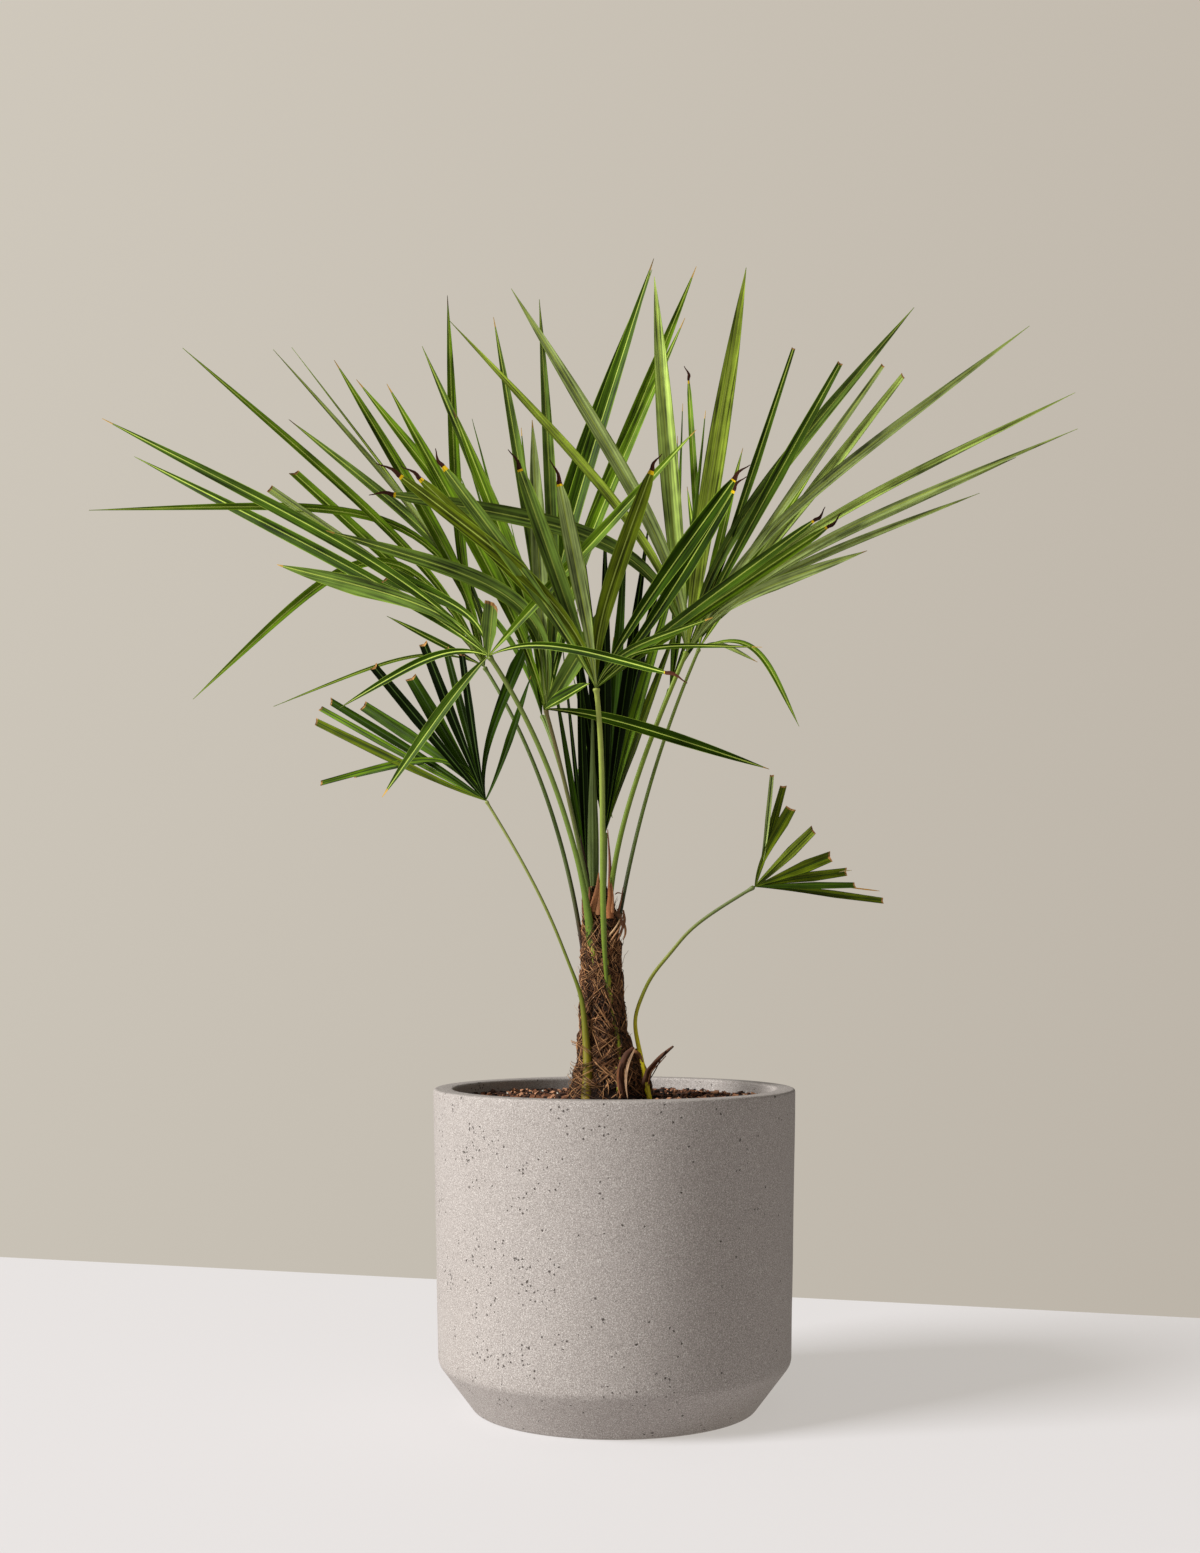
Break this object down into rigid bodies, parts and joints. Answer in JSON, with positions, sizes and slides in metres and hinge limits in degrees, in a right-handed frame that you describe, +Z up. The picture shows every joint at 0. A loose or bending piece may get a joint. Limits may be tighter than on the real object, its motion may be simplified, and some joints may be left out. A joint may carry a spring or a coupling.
{
  "type": "potted windmill palm",
  "caption": "Young fan palm with a short fibrous trunk and long thin stalks, standing in a round concrete planter with a chamfered foot.",
  "frame": {"origin": "middle of the pot's flat underside, on the surface that it stands on", "axes": "+Z up along the pot's axis; +Y away from the viewer of the front; +X to the viewer's right"},
  "size_m": [1.0262, 0.6683, 1.2257],
  "materials": {
    "concrete": "matte, fine grain with small pits",
    "potting": "loose bark compost",
    "bark": "hairy fibre",
    "dry_leaf": "papery, dry",
    "stalk": "smooth, slightly waxy",
    "leaf": "satin leaf"
  },
  "bodies": {
    "root": {"pot": "concrete", "soil": "potting", "trunk": "bark", "dead_boot": "dry_leaf", "peeled_sheath": "dry_leaf", "spear": "stalk", "stalk_front": "stalk", "fan_front": "leaf", "stalk_left_front": "stalk", "fan_left_front": "leaf", "stalk_left_back": "stalk", "fan_left_back": "leaf", "stalk_low_left": "stalk", "fan_low_left": "leaf", "stalk_low_right": "stalk", "fan_low_right": "leaf", "stalk_inner_left": "stalk", "fan_inner_left": "leaf", "stalk_tall_back": "stalk", "fan_tall_back": "leaf", "stalk_right_front": "stalk", "fan_right_front": "leaf", "stalk_right_back": "stalk", "fan_right_back": "leaf", "stalk_young": "stalk", "fan_young": "leaf", "stalk_folded": "stalk", "fan_folded": "leaf", "stalk_rear_left": "stalk", "fan_rear_left": "leaf", "stalk_rear_right": "stalk", "fan_rear_right": "leaf", "stalk_rear_low": "stalk", "fan_rear_low": "leaf"}
  },
  "joints": []
}
